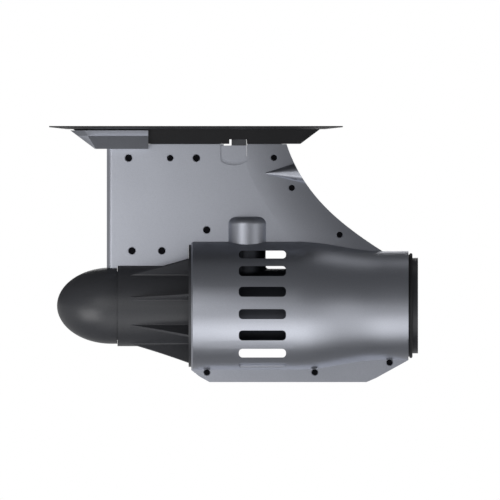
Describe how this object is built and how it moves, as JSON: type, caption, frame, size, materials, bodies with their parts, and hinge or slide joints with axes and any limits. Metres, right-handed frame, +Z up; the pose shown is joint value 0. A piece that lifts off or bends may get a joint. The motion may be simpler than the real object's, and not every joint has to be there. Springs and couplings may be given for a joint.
{
  "type": "electric power fin",
  "caption": "Water-jet power fin for a paddle board: a blade that slides into a fin box, a slotted duct with a motor pod, a guard, an impeller and a nozzle.",
  "frame": {"origin": "centre of the fin box's flat top face, which is glued to the board", "axes": "+X aft towards the nozzle, +Y to starboard, +Z up into the board"},
  "size_m": [0.3689, 0.1288, 0.2561],
  "materials": {
    "grey_shell": "satin metallic grey",
    "black_plastic": "moulded satin black",
    "latch_plastic": "moulded dark grey",
    "rail_aluminium": "extruded",
    "can_aluminium": "hard anodised dark grey",
    "black_steel": "black oxide",
    "shaft_steel": "ground stainless",
    "bearing_steel": "ground",
    "spring_steel": "drawn wire",
    "core_steel": "laminated",
    "insert_brass": "turned",
    "winding_copper": "enamelled copper wire",
    "magnet_nickel": "nickel plated",
    "board_green": "solder mask",
    "capacitor_sleeve": "shrink sleeve",
    "lead_jacket": "extruded jacket",
    "seal_rubber": "moulded rubber",
    "impeller_plastic": "glass-filled nylon"
  },
  "bodies": {
    "fin": {"fin_box": "black_plastic", "slide_rail": "rail_aluminium", "nose_hood": "grey_shell", "housing_left": "grey_shell", "housing_right": "grey_shell", "housing_screws_long": "black_steel", "housing_screws_short": "black_steel", "screw_inserts": "insert_brass", "latch_spring": "spring_steel", "cable_gland": "seal_rubber", "lead_splice": "insert_brass", "power_lead": "lead_jacket", "motor_can": "can_aluminium", "neck_seal": "seal_rubber", "front_cap": "can_aluminium", "end_cap": "can_aluminium", "front_bearing": "bearing_steel", "rear_bearing": "bearing_steel", "shaft_seal": "seal_rubber", "cap_seal": "seal_rubber", "stator_core": "core_steel", "stator_windings": "winding_copper", "control_board": "board_green", "board_capacitors": "capacitor_sleeve", "nose_cone": "black_plastic", "nose_seal": "seal_rubber", "intake_guard": "black_plastic", "diffuser": "black_plastic", "nozzle_ring": "black_plastic", "nozzle_seal": "seal_rubber"},
    "rotor": {"drive_shaft": "shaft_steel", "drive_pin": "shaft_steel", "impeller": "impeller_plastic", "impeller_nut": "shaft_steel", "rotor_core": "core_steel", "rotor_magnets": "magnet_nickel"},
    "latch": {"latch_block": "latch_plastic", "latch_pad_left": "grey_shell", "latch_pad_right": "grey_shell"}
  },
  "joints": [
    {"name": "rotor_spin", "type": "hinge", "parent": "fin", "child": "rotor", "pos_m": [0.112, 0, -0.1796], "axis": [1, 0, 0], "continuous": true},
    {"name": "latch_press", "type": "slide", "parent": "fin", "child": "latch", "axis": [0, 0, -1], "range_m": [0, 0.0045], "stiffness_N_per_m": 800, "springref_m": -0.003, "deforming": ["latch_spring"]}
  ]
}
